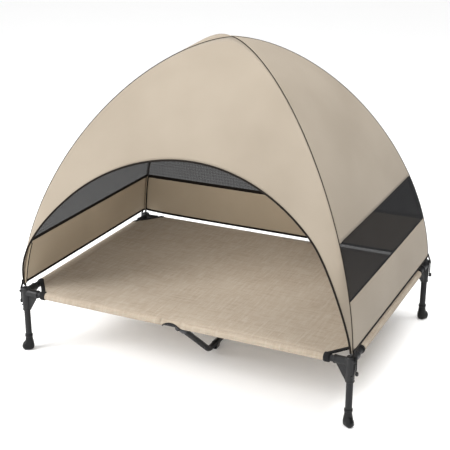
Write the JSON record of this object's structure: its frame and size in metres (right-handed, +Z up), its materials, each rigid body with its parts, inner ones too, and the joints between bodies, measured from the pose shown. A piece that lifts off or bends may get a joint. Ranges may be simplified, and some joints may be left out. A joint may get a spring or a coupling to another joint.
{
  "type": "elevated dog bed with canopy",
  "caption": "Raised sling bed for a large dog on a tube frame with rubber-booted legs, a folding middle support leg, and a lift-off domed canopy with mesh windows.",
  "frame": {"origin": "on the floor at the centre of the four legs", "axes": "+X along the long side to the right seen from the door, +Y from the door to the back, +Z up"},
  "size_m": [1.2526, 0.898, 1.0998],
  "materials": {
    "coated_steel": "charcoal powder coat, satin",
    "connector_nylon": "black moulded nylon, fine texture",
    "grey_nylon": "dark grey moulded nylon",
    "boot_rubber": "black rubber, matt",
    "zinc_steel": "zinc plated",
    "pole_fibreglass": "black fibreglass rod, semi-gloss",
    "canopy_cloth": "beige polyester plain weave with black piping",
    "sling_weave": "sand coloured coarse woven textile",
    "black_mesh": "black see-through polyester mesh",
    "black_webbing": "black polyester webbing"
  },
  "bodies": {
    "frame": {"corner_connector_front_left": "connector_nylon", "leg_tube_front_left": "coated_steel", "foot_boot_front_left": "boot_rubber", "corner_connector_front_right": "connector_nylon", "leg_tube_front_right": "coated_steel", "foot_boot_front_right": "boot_rubber", "corner_connector_rear_left": "connector_nylon", "leg_tube_rear_left": "coated_steel", "foot_boot_rear_left": "boot_rubber", "corner_connector_rear_right": "connector_nylon", "leg_tube_rear_right": "coated_steel", "foot_boot_rear_right": "boot_rubber", "front_rail_left": "coated_steel", "front_rail_right": "coated_steel", "rail_coupler_front": "connector_nylon", "pivot_pin_front": "zinc_steel", "rear_rail_left": "coated_steel", "rear_rail_right": "coated_steel", "rail_coupler_rear": "connector_nylon", "pivot_pin_rear": "zinc_steel", "left_rail": "coated_steel", "right_rail": "coated_steel", "bed_sling": "sling_weave"},
    "canopy": {"pole_tip_front_left": "connector_nylon", "pole_tip_front_right": "connector_nylon", "pole_tip_rear_left": "connector_nylon", "pole_tip_rear_right": "connector_nylon", "pole_rising_left": "pole_fibreglass", "pole_rising_right": "pole_fibreglass", "pole_ferrule_rising": "zinc_steel", "pole_falling_left": "pole_fibreglass", "pole_falling_right": "pole_fibreglass", "pole_ferrule_falling": "zinc_steel", "canopy_front_panel": "canopy_cloth", "canopy_band_left": "canopy_cloth", "mesh_window_left": "black_mesh", "canopy_roof_left": "canopy_cloth", "canopy_band_right": "canopy_cloth", "mesh_window_right": "black_mesh", "canopy_roof_right": "canopy_cloth", "canopy_band_rear": "canopy_cloth", "mesh_window_rear": "black_mesh", "canopy_roof_rear": "canopy_cloth"},
    "middle_leg": {"middle_leg_tube": "coated_steel", "middle_leg_knuckle_front": "grey_nylon", "middle_leg_knuckle_rear": "grey_nylon", "middle_leg_pad_front": "boot_rubber", "middle_leg_pad_rear": "boot_rubber"},
    "strap_front_left": {"corner_strap_front_left": "black_webbing", "corner_toggle_front_left": "connector_nylon"},
    "button_front_left": {"snap_button_front_left": "zinc_steel"},
    "strap_front_right": {"corner_strap_front_right": "black_webbing", "corner_toggle_front_right": "connector_nylon"},
    "button_front_right": {"snap_button_front_right": "zinc_steel"},
    "strap_rear_left": {"corner_strap_rear_left": "black_webbing", "corner_toggle_rear_left": "connector_nylon"},
    "button_rear_left": {"snap_button_rear_left": "zinc_steel"},
    "strap_rear_right": {"corner_strap_rear_right": "black_webbing", "corner_toggle_rear_right": "connector_nylon"},
    "button_rear_right": {"snap_button_rear_right": "zinc_steel"}
  },
  "joints": [
    {"name": "canopy_lift", "type": "slide", "parent": "frame", "child": "canopy", "axis": [0, 0, 1], "range_m": [0, 0.15]},
    {"name": "middle_leg_fold", "type": "hinge", "parent": "frame", "child": "middle_leg", "pos_m": [0, 0, 0.205], "axis": [0, 1, 0], "range_deg": [0, 88]},
    {"name": "strap_swing_front_left", "type": "hinge", "parent": "canopy", "child": "strap_front_left", "pos_m": [-0.61, -0.426, 0.268], "axis": [0, 1, 0], "range_deg": [0, 60]},
    {"name": "button_press_front_left", "type": "slide", "parent": "frame", "child": "button_front_left", "axis": [0.7071, 0.7071, 0], "range_m": [0, 0.0033], "stiffness_N_per_m": 400, "springref_m": -0.003},
    {"name": "strap_swing_front_right", "type": "hinge", "parent": "canopy", "child": "strap_front_right", "pos_m": [0.61, -0.426, 0.268], "axis": [0, -1, 0], "range_deg": [0, 60]},
    {"name": "button_press_front_right", "type": "slide", "parent": "frame", "child": "button_front_right", "axis": [-0.7071, 0.7071, 0], "range_m": [0, 0.0033], "stiffness_N_per_m": 400, "springref_m": -0.003},
    {"name": "strap_swing_rear_left", "type": "hinge", "parent": "canopy", "child": "strap_rear_left", "pos_m": [-0.61, 0.426, 0.268], "axis": [0, 1, 0], "range_deg": [0, 60]},
    {"name": "button_press_rear_left", "type": "slide", "parent": "frame", "child": "button_rear_left", "axis": [0.7071, -0.7071, 0], "range_m": [0, 0.0033], "stiffness_N_per_m": 400, "springref_m": -0.003},
    {"name": "strap_swing_rear_right", "type": "hinge", "parent": "canopy", "child": "strap_rear_right", "pos_m": [0.61, 0.426, 0.268], "axis": [0, -1, 0], "range_deg": [0, 60]},
    {"name": "button_press_rear_right", "type": "slide", "parent": "frame", "child": "button_rear_right", "axis": [-0.7071, -0.7071, 0], "range_m": [0, 0.0033], "stiffness_N_per_m": 400, "springref_m": -0.003}
  ]
}
